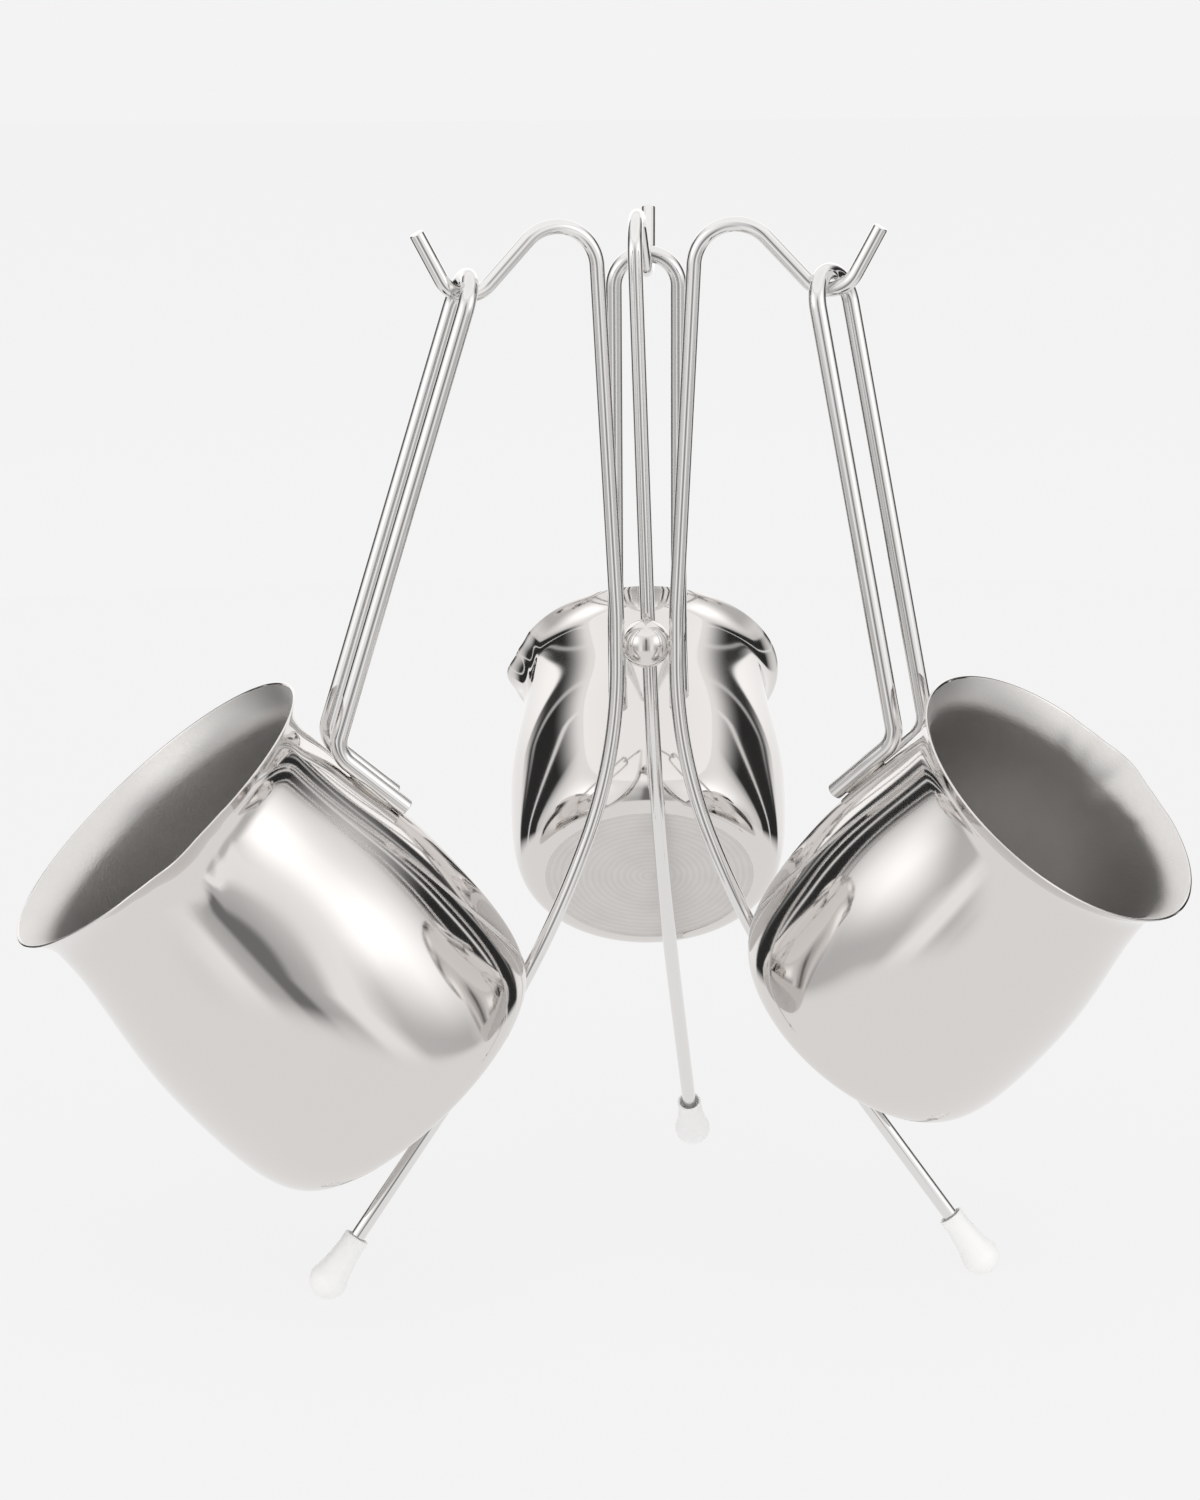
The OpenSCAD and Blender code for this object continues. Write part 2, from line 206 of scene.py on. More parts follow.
def drawnWire(name, finish):
    material, tree, out = newMaterial(name)
    at = addNode(tree, "ShaderNodeUVMap", uv_map="wire")
    # the map runs in millimetres: round the wire, then along it; hairlines are drawn coarser than real
    along = addNode(tree, "ShaderNodeMapping", {"Scale": (1 / drawn["lineMm"], drawn["lineStretch"], 1)},
                    {"Vector": at.outputs["UV"]})
    lines = addNode(tree, "ShaderNodeTexNoise", {"Scale": 1.0, "Detail": 2.0},
                    {"Vector": along.outputs["Vector"]}, noise_dimensions="2D")
    surface(tree, out, finish, lines, lines)
    return material


# Resistance weld in stainless: the metal melted and froze smooth, so it is bright but lumpy,
# with a faint grey heat tint
weld = {"colour": "#CFCCC9", "patches": "#B9B4AF", "roughFrom": 0.14, "roughTo": 0.28, "lumpMm": 1.1,
        "depthMm": 0.1, "bump": 0.5}


def weldSteel():
    material, tree, out = newMaterial("stainless_spot_weld")
    at = addNode(tree, "ShaderNodeAttribute", attribute_name="ownPlace")
    lumps = addNode(tree, "ShaderNodeTexNoise", {"Scale": 1 / (weld["lumpMm"] * mm), "Detail": 3.0},
                    {"Vector": at.outputs["Vector"]})
    surface(tree, out, weld, lumps, lumps, lumps)
    return material


# White moulded PVC for the foot caps: soft and slightly glossy, with a faint cloudiness from the
# moulding
capPlastic = {"colour": "#FCFCFC", "patches": "#F7F7F6", "ior": 1.52, "roughFrom": 0.37, "roughTo": 0.52,
              "cloudMm": 6, "skinMm": 0.9, "depthMm": 0.01, "bump": 0.15}


def mouldedCap():
    material, tree, out = newMaterial("white_moulded_pvc")
    at = addNode(tree, "ShaderNodeAttribute", attribute_name="ownPlace")
    cloud = addNode(tree, "ShaderNodeTexNoise", {"Scale": 1 / (capPlastic["cloudMm"] * mm), "Detail": 2.0},
                    {"Vector": at.outputs["Vector"]})
    skin = addNode(tree, "ShaderNodeTexNoise", {"Scale": 1 / (capPlastic["skinMm"] * mm), "Detail": 2.0},
                   {"Vector": at.outputs["Vector"]})
    surface(tree, out, capPlastic, skin, skin, cloud)
    return material


mirrorSteel = polishedSteel()
insideSteel = satinSteel()
baseSteel = turnedSteel()
standSteel = drawnWire("bright_drawn_stand_wire", drawnStand)
handleSteel = drawnWire("bright_drawn_handle_wire", drawnHandle)
weldMetal = weldSteel()
whitePvc = mouldedCap()
print("materials made")

bendDetail = {"spacing": 1.5, "fewest": 4, "degreesEach": 5, "straightEach": 4}


def followBends(start, heading, rows):
    # walks [straight, bend radius, bend angle] rows in a plane, in millimetres and degrees
    p, a = Vector(start), radians(heading)
    points = [p.copy()]
    for straight, bendRadius, bend in rows:
        q = p + straight * Vector((cos(a), sin(a)))
        count = max(1, ceil(straight / (bendDetail["straightEach"] * bendDetail["spacing"])))
        points += [p.lerp(q, k / count) for k in range(1, count + 1)] if straight else []
        if bend:
            side = 1 if bend > 0 else -1
            middle = q + side * bendRadius * Vector((-sin(a), cos(a)))
            count = max(bendDetail["fewest"], ceil(abs(radians(bend)) * bendRadius / bendDetail["spacing"]),
                        ceil(abs(bend) / bendDetail["degreesEach"]))
            for k in range(1, count + 1):
                b = a + radians(bend) * k / count
                points.append(middle - side * bendRadius * Vector((-sin(b), cos(b))))
            a += radians(bend)
            q = points[-1]
        p = q.copy()
    return points, a


def sweepWire(name, path, diameter, material, sides=36, chamfer=0.25):
    # path in metres; the ends are cut square with the burr taken off
    length = [0.0]
    for i in range(1, len(path)):
        length.append(length[-1] + (path[i] - path[i - 1]).length)
    tangents = []
    for i in range(len(path)):
        tangents.append((path[min(i + 1, len(path) - 1)] - path[max(i - 1, 0)]).normalized())
    side = tangents[0].orthogonal().normalized()
    radius, cut = diameter / 2 * mm, chamfer * mm
    bm = bmesh.new()
    wireMap = bm.loops.layers.uv.new("wire")
    rings, marks = [], []

    def addRing(centre, tangent, r, along):
        across = tangent.cross(side).normalized()
        ring = []
        for k in range(sides):
            angle = 2 * pi * k / sides
            ring.append(bm.verts.new(centre + r * (cos(angle) * side + sin(angle) * across)))
        rings.append(ring)
        marks.append(along / mm)

    for i, point in enumerate(path):
        side = (side - side.dot(tangents[i]) * tangents[i]).normalized()
        if i == 0:
            addRing(point, tangents[i], radius - cut, 0)
            addRing(point + cut * tangents[i], tangents[i], radius, cut)
        elif i == len(path) - 1:
            addRing(point - cut * tangents[i], tangents[i], radius, length[i] - cut)
            addRing(point, tangents[i], radius - cut, length[i])
        else:
            addRing(point, tangents[i], radius, length[i])
    around = pi * diameter / sides
    for i in range(len(rings) - 1):
        for k in range(sides):
            n = (k + 1) % sides
            face = bm.faces.new((rings[i][k], rings[i][n], rings[i + 1][n], rings[i + 1][k]))
            spots = ((k, i), (k + 1, i), (k + 1, i + 1), (k, i + 1))
            for loop, (u, v) in zip(face.loops, spots):
                loop[wireMap].uv = (u * around, marks[v])
    bm.faces.new(list(reversed(rings[0])))
    bm.faces.new(rings[-1])
    return finishMesh(name, bm, [material], sharp=30)


def latheMesh(name, profile, zones, materials, turns=192, shape=None, sharp=38):
    # profile is [radius, height] in millimetres; the first and last points may lie on the axis
    bm = bmesh.new()
    rings = []
    for r, z in profile:
        if r < 1e-6:  # on the axis
            rings.append([bm.verts.new((0, 0, z * mm))])
            continue
        ring = []
        for k in range(turns):
            angle = 2 * pi * k / turns
            point = Vector((r * cos(angle), r * sin(angle), z))
            ring.append(bm.verts.new((shape(point) if shape else point) * mm))
        rings.append(ring)
    for i in range(len(rings) - 1):
        a, b = rings[i], rings[i + 1]
        for k in range(turns):
            n = (k + 1) % turns
            if len(a) == 1:
                face = bm.faces.new((a[0], b[n], b[k]))
            elif len(b) == 1:
                face = bm.faces.new((a[k], a[n], b[0]))
            else:
                face = bm.faces.new((a[k], a[n], b[n], b[k]))
            face.material_index = zones[i]
    bmesh.ops.recalc_face_normals(bm, faces=bm.faces)
    return finishMesh(name, bm, materials, sharp)


def bezier(p, count):
    points = []
    for i in range(1, count + 1):
        t = i / count
        u = 1 - t
        points.append(tuple(u ** 3 * a + 3 * t * u * u * b + 3 * t * t * u * c + t ** 3 * d
                            for a, b, c, d in zip(*p)))
    return points


stand = {"wire": 4.0, "ball": 13.0, "ballHeight": 173.0, "ballRings": 72, "bite": 0.3,
         "rise": [[5, 130, -3], [89, 11, -133], [15, 8, 108], [13.5, 0, 0]],
         "drop": [[5, 130, 22], [2, 250, 14.5], [70.42, 0, 0]], "splay": 36.5}
arms = {"left": {"turn": 199.0, "lean": 0.0}, "right": {"turn": -10.0, "lean": 0.0},
        "back": {"turn": 84.5, "lean": 2.0}}
ballLow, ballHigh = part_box("centre_ball")
ballMiddle = Vector((0, 0, (ballLow.z + ballHigh.z) / 2))
armOffset = (stand["ball"] + stand["wire"]) / 2 - stand["bite"]


def armPoint(arm, r, z):
    # r outwards and z up from the table, in millimetres, leant sideways about the ball
    turn, lean = radians(arm["turn"]), radians(arm["lean"])
    up = z - stand["ballHeight"]
    return Vector((r * cos(turn) - up * sin(lean) * sin(turn), r * sin(turn) + up * sin(lean) * cos(turn),
                   0)) * mm + ballMiddle + Vector((0, 0, up * cos(lean) * mm))


rise, _ = followBends((armOffset, stand["ballHeight"]), 90, stand["rise"])
drop, _ = followBends((armOffset, stand["ballHeight"]), -90, stand["drop"])
for side, arm in arms.items():
    path = [armPoint(arm, p.x, p.y) for p in reversed(drop[1:])] + [armPoint(arm, p.x, p.y) for p in rise]
    wire = sweepWire(side + "_arm_wire", path, stand["wire"], standSteel)
    place(wire, "stand", "polished_wire", side + "_arm")


def nearArms(point):
    # presses the ball in where a wire sits in it, as the weld does
    for arm in arms.values():
        foot = armPoint(arm, armOffset, stand["ballHeight"] + point.z) / mm
        local = point + ballMiddle / mm
        away = Vector((local.x - foot.x, local.y - foot.y, 0))
        if away.length < stand["wire"] / 2:
            back = away.normalized() * (stand["wire"] / 2)
            point = Vector((foot.x + back.x, foot.y + back.y, point.z))
    return point


ballProfile = []
ballRings = stand["ballRings"]
for k in range(ballRings + 1):
    angle = -pi / 2 + pi * k / ballRings
    across = stand["ball"] / 2 * cos(angle) if 0 < k < ballRings else 0
    ballProfile.append((across, stand["ball"] / 2 * sin(angle)))
ball = latheMesh("mirror_ball", ballProfile, [0] * ballRings, [mirrorSteel], 2 * ballRings, nearArms)
settle(ball, Matrix.Translation(ballMiddle))
place(ball, "stand", "polished_ball", "centre_ball")

puddle = {"cuts": 11, "lumpScale": 1.7, "sharp": 80}


def weldBlob(name, middle, axes, sizes, seed, lump=0.12):
    # a frozen puddle of weld metal: a subdivided cube blown round, then made uneven
    bm = bmesh.new()
    bmesh.ops.create_cube(bm, size=2)
    bmesh.ops.subdivide_edges(bm, edges=bm.edges, cuts=puddle["cuts"], use_grid_fill=True)
    for vert in bm.verts:
        unit = vert.co.normalized()
        wobble = 1 - lump + lump * noise.noise(unit * puddle["lumpScale"] + Vector((seed, 0, 0)))
        vert.co = middle + mm * wobble * sum((axes[i] * unit[i] * sizes[i] for i in range(3)), Vector())
    bmesh.ops.recalc_face_normals(bm, faces=bm.faces)
    bead = finishMesh(name, bm, [weldMetal], puddle["sharp"])
    settle(bead, Matrix.Identity(4))
    return bead


ballWeld = {"size": 5.0, "inset": 0.2, "seed": 3.0}
for count, (side, arm) in enumerate(arms.items()):
    reach = stand["ball"] / 2 - ballWeld["inset"]
    turn = radians(arm["turn"])
    out = Vector((cos(turn), sin(turn), 0))
    blob = weldBlob(side + "_arm_spot_weld", armPoint(arm, reach, stand["ballHeight"]),
                    [out, Vector((-out.y, out.x, 0)), Vector((0, 0, 1))],
                    [ballWeld["size"] / 2] * 3, ballWeld["seed"] + count)
    place(blob, "stand", "weld_metal", side + "_arm_weld")
print("stand made")

cap = {"ball": 10.4, "waist": 9.2, "collar": 7.0, "length": 14.0, "bore": 4.1, "mouth": 5.6,
       "mouthDeep": 3.0, "mouthTaper": 0.05, "mouthEdge": 0.3, "lip": 0.45, "lipSteps": 8, "floor": 1.0,
       "roundShare": 0.62, "roundSteps": 21, "taperSteps": 14, "taperShare": 0.25, "leave": (-0.5, 1.5),
       "arrive": (-0.25, 4.2), "collarIn": 0.1, "collarFrom": 3, "collarStraight": 2}


def capProfile():
    # heights run from the middle of the round end
    r = cap["ball"] / 2
    points = [(0, -r)]
    for k in range(1, cap["roundSteps"] + 1):  # round end up to where the taper leaves it
        angle = -pi / 2 + pi * cap["roundShare"] * k / cap["roundSteps"]
        points.append((r * cos(angle), r * sin(angle)))
    lip, top = cap["lip"], cap["length"]
    taper = cap["waist"] / 2 - (cap["waist"] - cap["collar"]) / 2 * cap["taperShare"]
    points += bezier((points[-1], (points[-1][0] + cap["leave"][0], points[-1][1] + cap["leave"][1]),
                      (taper + cap["arrive"][0], cap["arrive"][1]),
                      (cap["collar"] / 2 - cap["collarIn"], top - cap["collarFrom"])), cap["taperSteps"])
    points += [(cap["collar"] / 2, top - cap["collarStraight"]), (cap["collar"] / 2, top - lip)]
    for k in range(1, cap["lipSteps"]):  # rounded lip
        angle = pi * k / cap["lipSteps"]
        middle = (cap["collar"] + cap["mouth"]) / 4
        half = (cap["collar"] - cap["mouth"]) / 4
        points.append((middle + half * cos(angle), top - lip + lip * sin(angle)))
    step = top - cap["mouthDeep"]
    points += [(cap["mouth"] / 2, top - lip), (cap["mouth"] / 2 - cap["mouthTaper"], step + cap["mouthEdge"]),
               (cap["mouth"] / 2 - cap["mouthEdge"], step), (cap["bore"] / 2, step),
               (cap["bore"] / 2, cap["floor"]), (0, cap["floor"])]
    return points


for side, arm in arms.items():
    low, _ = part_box(side + "_foot_cap")
    end = drop[-1]
    splay = radians(stand["splay"])
    past = cap["floor"] * Vector((sin(splay), -cos(splay)))  # the wire ends on the floor of the bore
    middle = armPoint(arm, end.x + past.x, end.y + past.y)
    along = (armPoint(arm, end.x - past.x, end.y - past.y) - middle).normalized()
    profile = capProfile()
    foot = latheMesh(side + "_foot_cap_pvc", profile, [0] * (len(profile) - 1), [whitePvc], 96, sharp=50)
    settle(foot, Matrix.Translation(middle) @ along.to_track_quat("Z", "Y").to_matrix().to_4x4())
    for vert in foot.data.vertices:  # worn flat where it stands on the table
        vert.co.z = max(vert.co.z, low.z)
    place(foot, "stand", "white_cap", side + "_foot_cap")
print("foot caps made")

steelWall = 0.9
pots = {
    "left": {"wide": 97.0, "tall": 102.0, "handle": 113.0, "grip": 58.0, "foot": (-48.844, 59.392),
             "footTurn": 81.199},
    "right": {"wide": 85.0, "tall": 90.0, "handle": 109.0, "grip": 52.0, "foot": (-43.623, 47.399),
              "footTurn": 81.642},
    "back": {"wide": 79.0, "tall": 75.0, "handle": 96.0, "grip": 57.0, "foot": (-41.318, 32.373),
             "footTurn": 82.799}}
# shares of the pot's radius sideways and of its height upwards
curve = {"base": 0.76, "belly": 0.39, "neck": 0.89, "neckUp": 0.90, "basePull": 0.19, "bellyDrop": 0.26,
         "bellyRise": 0.22, "neckDrop": 0.17, "neckRise": 0.05, "rimIn": 0.04, "rimDrop": 0.02,
         "steps": (26, 26, 20)}
rim = {"clear": 0.05, "thicken": 0.35, "steps": 8}
baseDisc = {"rings": 12, "hollow": 0.3, "inset": 0.9, "edge": 0.6, "edgeLift": 0.06}
spout = {"out": 1.9, "half": 10.0, "deep": 19.0, "pinch": 0.2, "risePower": 1.3, "narrowest": 0.45}
outside, under, inside = 0, 1, 2  # material slots of a shell


def wallCurve(pot, inset):
    r, h = pot["wide"] / 2, pot["tall"]
    base = (curve["base"] * r - inset / 2, inset)
    belly = (r - inset, curve["belly"] * h)
    neck = (curve["neck"] * r - inset, curve["neckUp"] * h)
    top = (r - inset, h)
    low, mid, high = curve["steps"]
    return ([base]
            + bezier((base, (base[0] + curve["basePull"] * r, base[1]),
                      (belly[0], belly[1] - curve["bellyDrop"] * h), belly), low)
            + bezier((belly, (belly[0], belly[1] + curve["bellyRise"] * h),
                      (neck[0], neck[1] - curve["neckDrop"] * h), neck), mid)
            + bezier((neck, (neck[0], neck[1] + curve["neckRise"] * h),
                      (top[0] - curve["rimIn"] * r, top[1] - curve["rimDrop"] * h), top), high))


def shellProfile(pot):
    r, h = pot["wide"] / 2, pot["tall"]
    half = steelWall / 2
    outer = [p for p in wallCurve(pot, 0) if p[1] < h - half - rim["clear"]]
    inner = [p for p in wallCurve(pot, steelWall) if p[1] < h - half - rim["clear"]]
    disc, rings = curve["base"] * r, baseDisc["rings"]
    points = [(0, baseDisc["hollow"])]
    points += [(disc * k / rings - baseDisc["inset"], baseDisc["hollow"]) for k in range(1, rings + 1)]
    points += [(disc - baseDisc["edge"], baseDisc["edgeLift"])]
    zones = [under] * (rings + 1)
    points += outer
    zones += [outside] * len(outer)
    middle = (outer[-1][0] + inner[-1][0]) / 2 + rim["thicken"]
    for k in range(1, rim["steps"]):  # rolled edge of the mouth
        angle = pi * k / rim["steps"]
        points.append((middle + half * cos(angle), h - half + half * sin(angle)))
        zones.append(outside)
    points += list(reversed(inner))
    zones += [inside] * len(inner)
    points += [(inner[0][0] * k / rings, steelWall) for k in range(rings - 1, 0, -1)] + [(0, steelWall)]
    zones += [inside] * rings
    return points, zones


def pourLip(pot):
    def bend(point):
        # pushes the mouth out into a shallow lip at +Y and pulls it in slightly beside the lip
        across = point.x / spout["half"]
        if point.y < 0 or abs(across) > 2:
            return point
        rise = smoothStep((point.z - pot["tall"] + spout["deep"]) / spout["deep"]) ** spout["risePower"]
        s = abs(across) / (spout["narrowest"] + (1 - spout["narrowest"]) * rise)
        push = cos(pi * s / 2) ** 2 if s < 1 else -spout["pinch"] * sin(pi * (s - 1)) ** 2 if s < 2 else 0
        out = Vector((point.x, point.y, 0)).normalized()
        return point + out * spout["out"] * push * rise
    return bend


def potFrame(side, nearFloor=0.02):
    # the pot's own frame: its floor is the largest flat in the CAD shell
    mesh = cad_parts[side + "_pot_shell"].data
    flats = {}
    for face in mesh.polygons:
        key = tuple(round(c, 2) for c in (face.normal if face.normal.z > 0 else -face.normal))
        area, total = flats.get(key, (0.0, Vector()))
        sign = 1 if face.normal.z > 0 else -1
        flats[key] = (area + face.area, total + sign * face.normal * face.area)
    up = max(flats.values(), key=lambda flat: flat[0])[1].normalized()
    across = Vector((-up.y, up.x, 0)).normalized()
    out = across.cross(up)
    low = min(v.co.dot(up) for v in mesh.vertices)
    ring = [v.co for v in mesh.vertices if v.co.dot(up) < low + nearFloor * mm]
    mid = [(min(p.dot(d) for p in ring) + max(p.dot(d) for p in ring)) / 2 for d in (out, across)]
    origin = mid[0] * out + mid[1] * across + low * up
    return Matrix.Translation(origin) @ Matrix((out, across, up)).transposed().to_4x4()


handle = {"wire": 4.6, "gap": 17.8, "foot": 20.0, "bend": 7.0, "loopSteps": 32}
handleWeld = {"long": 15.0, "up": 10.0, "bite": 0.1, "spill": 0.6, "thick": 1.3, "wide": 2.3, "seed": 11.0,
              "lump": 0.08}
for count, (side, pot) in enumerate(pots.items()):
    body = side + "_pot"
    at = potFrame(side)
    profile, zones = shellProfile(pot)
    shell = latheMesh(side + "_pot_drawn_shell", profile, zones, [mirrorSteel, baseSteel, insideSteel],
                      240, pourLip(pot))
    settle(shell, at)
    place(shell, body, "polished_steel", side + "_pot_shell")

    half = handle["gap"] / 2
    rows = [[handle["foot"], handle["bend"], 90 + pot["grip"] - pot["footTurn"]], [pot["handle"], 0, 0]]
    leg, heading = followBends(pot["foot"], pot["footTurn"], rows)
    turnOut = Vector((cos(heading), 0, sin(heading)))
    end = Vector((leg[-1].x, 0, leg[-1].y))
    path = [Vector((p.x, -half, p.y)) for p in leg]
    for k in range(1, handle["loopSteps"]):
        angle = pi * k / handle["loopSteps"]
        path.append(end + half * sin(angle) * turnOut - Vector((0, half * cos(angle), 0)))
    path += [Vector((p.x, half, p.y)) for p in reversed(leg)]
    wire = sweepWire(side + "_pot_handle_wire", [at @ (p * mm) for p in path], handle["wire"], handleSteel)
    place(wire, body, "handle_wire", side + "_pot_handle")

    footTurn = radians(pot["footTurn"])
    alongFoot = at.to_3x3() @ Vector((cos(footTurn), 0, sin(footTurn)))
    toWall = at.to_3x3() @ Vector((sin(footTurn), 0, -cos(footTurn)))
    deep = handle["wire"] / 2 - handleWeld["bite"]
    sizes = [handleWeld["long"] / 2 + handleWeld["spill"], handleWeld["thick"], handleWeld["wide"]]
    for name, y in (("near", half), ("far", -half)):
        start = at @ (Vector((pot["foot"][0], y, pot["foot"][1])) * mm)
        middle = start + handleWeld["up"] * mm * alongFoot + deep * mm * toWall
        bead = weldBlob(side + "_pot_" + name + "_handle_weld", middle,
                        [alongFoot, toWall, alongFoot.cross(toWall)], sizes,
                        handleWeld["seed"] + count + y, handleWeld["lump"])
        place(bead, body, "weld_metal", side + "_pot_" + name + "_weld")
print("pots made")

# lengths in metres; a level is the brightness that the steel mirrors
studio = {"paper": "#F3F3F3", "paperGlow": 0.94, "paperBounce": 0.05, "fibreMm": 2.5, "floorHalf": 6,
          "floorDropMm": 0.02, "light": (1, 0.995, 0.99, 1), "brightest": 3.0,
          "tentRadius": 1.05, "tentTop": 1.25, "tentDip": 0.01, "tentSides": 96, "tentOverlap": 1.02,
          "footFrom": -0.02, "footTo": 0.5, "topFrom": 0.6, "topTo": 1.2, "topLevel": 1.0,
          "nearLevel": 0.92, "nearTo": 0.26, "farFrom": 0.5, "underlayMm": 2,
          "roofFrom": 0.3, "roofTo": 1.6, "roofInner": 1.1, "roofOuter": 1.2,
          "lampWatts": 6.0, "lampSize": 1.2, "lampAt": (0.1, -0.7, 1.1)}
# levels round the wall, by the share of half a turn from the front, the same on both sides
tentLevels = [(0.0, 0.2), (0.018, 0.2), (0.036, 0.6), (0.09, 0.8), (0.13, 1.0), (0.19, 1.1), (0.27, 1.55),
              (0.36, 1.55), (0.46, 1.15), (0.53, 0.8), (0.562, 0.4), (0.575, 0.03), (0.64, 0.03),
              (0.645, 0.9), (0.652, 0.9), (0.657, 0.03), (0.73, 0.03), (0.735, 0.5), (0.742, 0.5),
              (0.747, 0.05), (0.78, 0.05), (0.787, 1.25), (1.0, 1.3)]
# the same low down, on the far part of the floor and the foot of the wall
footLevels = [(0.0, 0.2), (0.018, 0.2), (0.036, 0.5), (0.085, 0.6), (0.12, 1.05), (0.17, 1.05), (0.23, 0.62),
              (0.42, 0.58), (0.5, 0.85), (0.56, 0.7), (0.572, 0.03), (0.64, 0.03), (0.645, 0.9),
              (0.652, 0.9), (0.657, 0.03), (0.75, 0.03), (0.765, 1.0), (1.0, 1.0)]


def glowMaterial(name, strengthOf):
    material, tree, out = newMaterial(name)
    strength = strengthOf(tree)
    light = addNode(tree, "ShaderNodeEmission", {"Color": studio["light"]}, {"Strength": strength})
    tree.links.new(light.outputs[0], out.inputs[0])
    return material


def floorPaper():
    # lit mostly from within, like a light table, so that it stays an even pale grey
    material, tree, out = newMaterial("pale_paper_floor")
    at = addNode(tree, "ShaderNodeTexCoord")
    fibre = addNode(tree, "ShaderNodeTexNoise", {"Scale": 1 / (studio["fibreMm"] * mm), "Detail": 2.0},
                    {"Vector": at.outputs["Object"]})
    rough = addNode(tree, "ShaderNodeMapRange", {"To Min": 0.85, "To Max": 0.95},
                    {"Value": fibre.outputs["Fac"]})
    level = fromHex(studio["paper"])[0]
    paper = addNode(tree, "ShaderNodeBsdfPrincipled",
                    {"Base Color": (studio["paperBounce"],) * 3 + (1,), "Specular IOR Level": 0.0,
                     "Emission Color": (level,) * 3 + (1,), "Emission Strength": studio["paperGlow"]},
                    {"Roughness": rough.outputs["Result"]})
    tree.links.new(paper.outputs[0], out.inputs[0])
    return material


def plate(name, half, height, material, facesDown=False):
    corners = [(-half, -half, 0), (half, -half, 0), (half, half, 0), (-half, half, 0)]
    if facesDown:
        corners.reverse()
    bm = bmesh.new()
    bm.faces.new([bm.verts.new(c) for c in corners])
    piece = finishMesh(name, bm, [material])
    piece.location.z = height
    return piece


floor = plate("floor", studio["floorHalf"], cadLow.z - studio["floorDropMm"] * mm, floorPaper())


def levelCurve(tree, levels, angle):
    where = addNode(tree, "ShaderNodeMath", {1: pi}, {0: angle}, operation="DIVIDE")
    ramp = addNode(tree, "ShaderNodeFloatCurve", {}, {"Value": where.outputs[0]})
    line = ramp.mapping.curves[0]
    while len(line.points) < len(levels):
        line.points.new(0.5, 0.5)
    for point, (share, level) in zip(line.points, levels):
        point.location = (share, level / studio["brightest"])
        point.handle_type = "VECTOR"
    ramp.mapping.update()
    return addNode(tree, "ShaderNodeMath", {1: studio["brightest"]}, {0: ramp.outputs[0]},
                   operation="MULTIPLY").outputs[0]


def frontAngle(tree, split):
    # how far round from the front, the same on both sides
    aside = addNode(tree, "ShaderNodeMath", {}, {0: split.outputs["X"]}, operation="ABSOLUTE")
    ahead = addNode(tree, "ShaderNodeMath", {1: -1.0}, {0: split.outputs["Y"]}, operation="MULTIPLY")
    return addNode(tree, "ShaderNodeMath", {}, {0: aside.outputs[0], 1: ahead.outputs[0]},
                   operation="ARCTAN2").outputs[0]


def wallStrength(tree):
    # the low levels blend up into the wall's own, and these fade to an even top
    at = addNode(tree, "ShaderNodeTexCoord")
    split = addNode(tree, "ShaderNodeSeparateXYZ", {}, {0: at.outputs["Object"]})
    angle = frontAngle(tree, split)
    foot = addNode(tree, "ShaderNodeMapRange", {"From Min": studio["footFrom"], "From Max": studio["footTo"]},
                   {"Value": split.outputs["Z"]}, interpolation_type="SMOOTHSTEP")
    low = addNode(tree, "ShaderNodeMix", {}, {0: foot.outputs[0], 2: levelCurve(tree, footLevels, angle),
                                              3: levelCurve(tree, tentLevels, angle)}, data_type="FLOAT")
    height = addNode(tree, "ShaderNodeMapRange", {"From Min": studio["topFrom"], "From Max": studio["topTo"]},
                     {"Value": split.outputs["Z"]}, interpolation_type="SMOOTHSTEP")
    fade = addNode(tree, "ShaderNodeMix", {3: studio["topLevel"]}, {0: height.outputs[0], 2: low.outputs[0]},
                   data_type="FLOAT")
    return fade.outputs[0]


def roofStrength(tree):
    at = addNode(tree, "ShaderNodeTexCoord")
    away = addNode(tree, "ShaderNodeVectorMath", {}, {0: at.outputs["Object"]}, operation="LENGTH")
    level = addNode(tree, "ShaderNodeMapRange",
                    {"From Min": studio["roofFrom"], "From Max": studio["roofTo"],
                     "To Min": studio["roofInner"], "To Max": studio["roofOuter"]},
                    {"Value": away.outputs["Value"]})
    return level.outputs[0]


def underlayStrength(tree):
    at = addNode(tree, "ShaderNodeTexCoord")
    split = addNode(tree, "ShaderNodeSeparateXYZ", {}, {0: at.outputs["Object"]})
    away = addNode(tree, "ShaderNodeVectorMath", {}, {0: at.outputs["Object"]}, operation="LENGTH")
    level = levelCurve(tree, footLevels, frontAngle(tree, split))
    far = addNode(tree, "ShaderNodeMapRange", {"From Min": studio["nearTo"], "From Max": studio["farFrom"]},
                  {"Value": away.outputs["Value"]}, interpolation_type="SMOOTHSTEP")
    blend = addNode(tree, "ShaderNodeMix", {2: studio["nearLevel"]}, {0: far.outputs[0], 3: level},
                    data_type="FLOAT")
    return blend.outputs[0]


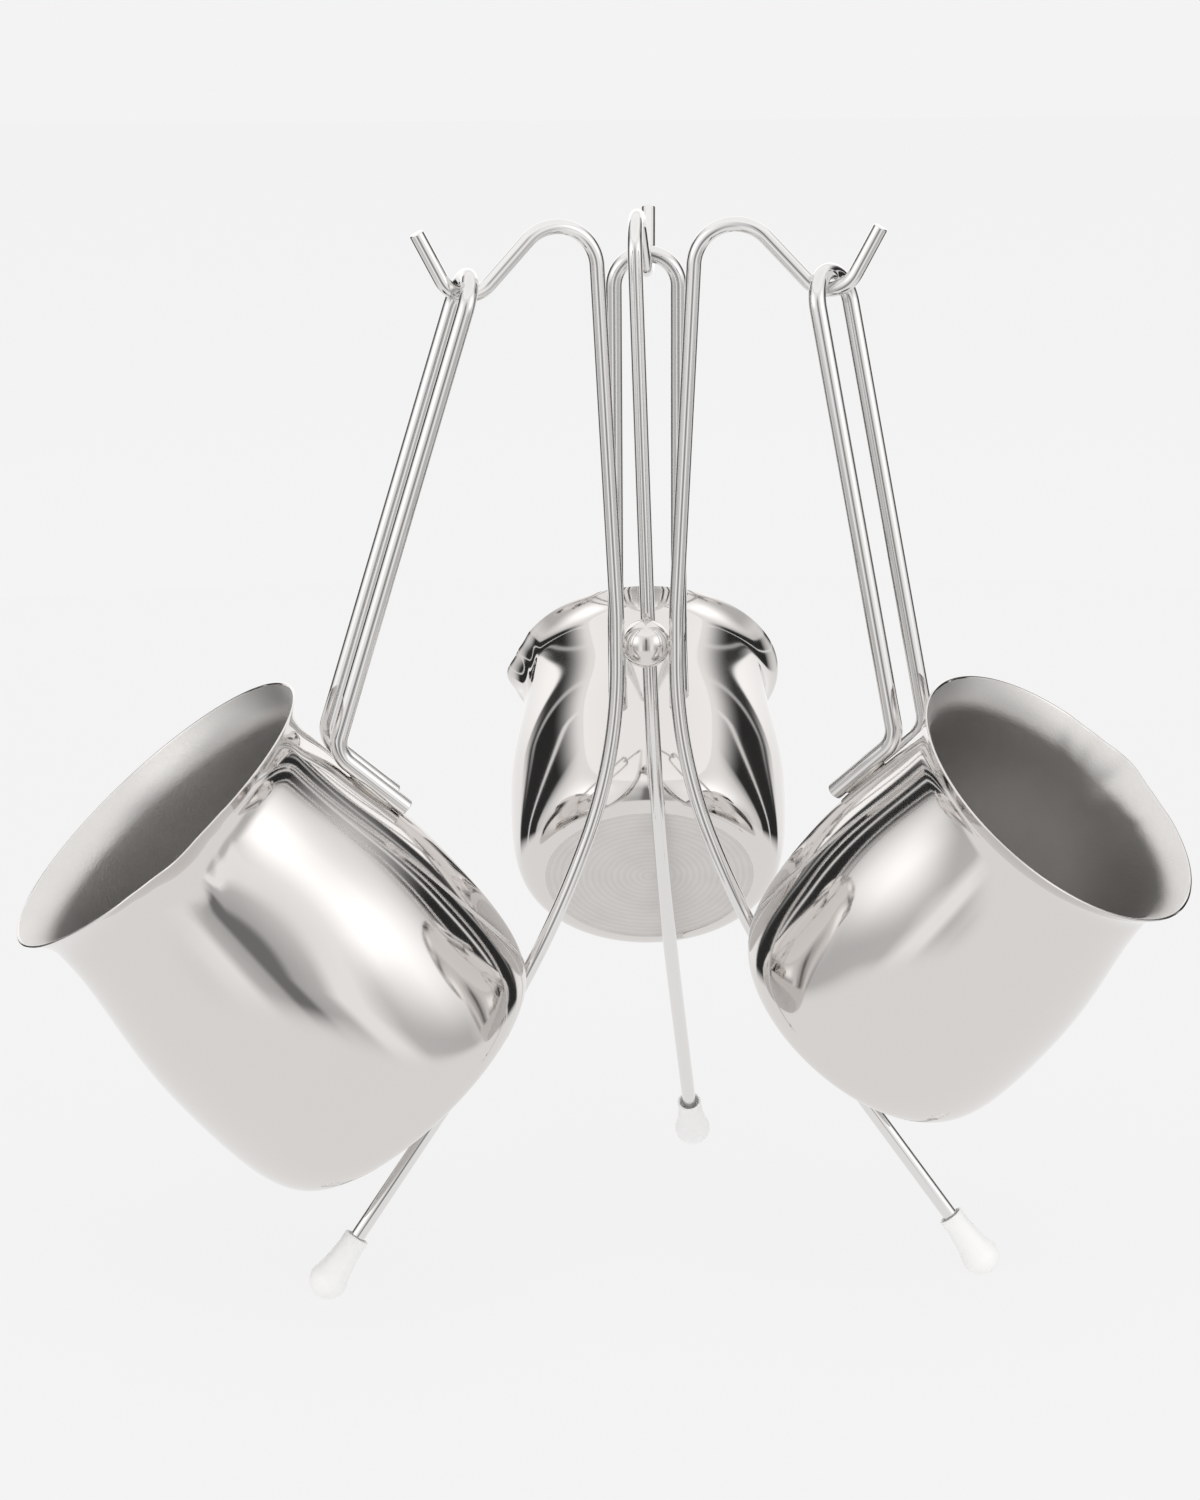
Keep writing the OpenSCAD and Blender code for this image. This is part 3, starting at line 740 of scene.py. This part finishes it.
bm = bmesh.new()
sides = studio["tentSides"]
rings = []
for z in (-studio["tentDip"], studio["tentTop"]):
    rings.append([bm.verts.new((studio["tentRadius"] * cos(2 * pi * k / sides),
                                studio["tentRadius"] * sin(2 * pi * k / sides), z)) for k in range(sides)])
for k in range(sides):
    n = (k + 1) % sides
    bm.faces.new((rings[0][k], rings[0][n], rings[1][n], rings[1][k]))
tent = finishMesh("light_tent_wall", bm, [glowMaterial("tent_cloth_glow", wallStrength)])

reach = studio["tentRadius"] * studio["tentOverlap"]
roof = plate("light_tent_roof", reach, studio["tentTop"], glowMaterial("tent_roof_glow", roofStrength), True)
underlay = plate("light_tent_floor", reach, -studio["underlayMm"] * mm,
                 glowMaterial("tent_floor_glow", underlayStrength))
for cloth in (tent, roof, underlay):
    cloth.visible_camera = False
    cloth.visible_shadow = False
floor.visible_glossy = False  # the steel mirrors the tent's own floor
floor.visible_diffuse = False

# a soft lamp that the steel doesn't mirror: it lifts the white caps above the paper
lamp = bpy.data.objects.new("overhead_lamp", bpy.data.lights.new("overhead_lamp", "AREA"))
lamp.data.energy = studio["lampWatts"]
lamp.data.size = studio["lampSize"]
lamp.location = studio["lampAt"]
lamp.rotation_euler = Vector(studio["lampAt"]).to_track_quat("Z", "Y").to_euler()
lamp.visible_glossy = False
bpy.context.scene.collection.objects.link(lamp)

world = bpy.data.worlds.new("pale_room")
bpy.context.scene.world = world
world.use_nodes = True
world.node_tree.nodes["Background"].inputs["Color"].default_value = fromHex(studio["paper"])
world.node_tree.nodes["Background"].inputs["Strength"].default_value = 1.0

view = bpy.context.scene.view_settings
view.view_transform = "Standard"
view.look = "None"

shot = {"place": (-0.0125, -0.9119, 0.3578), "down": 13.2, "roll": -0.44, "lens": 83.7, "sensor": 36}
camera = bpy.data.objects.new("camera", bpy.data.cameras.new("camera"))
bpy.context.scene.collection.objects.link(camera)
camera.data.lens = shot["lens"]
camera.data.sensor_width = shot["sensor"]
camera.matrix_world = (Matrix.Translation(shot["place"]) @ Matrix.Rotation(radians(90 - shot["down"]), 4, "X")
                       @ Matrix.Rotation(radians(shot["roll"]), 4, "Z"))
bpy.context.scene.camera = camera
print("studio and camera made")
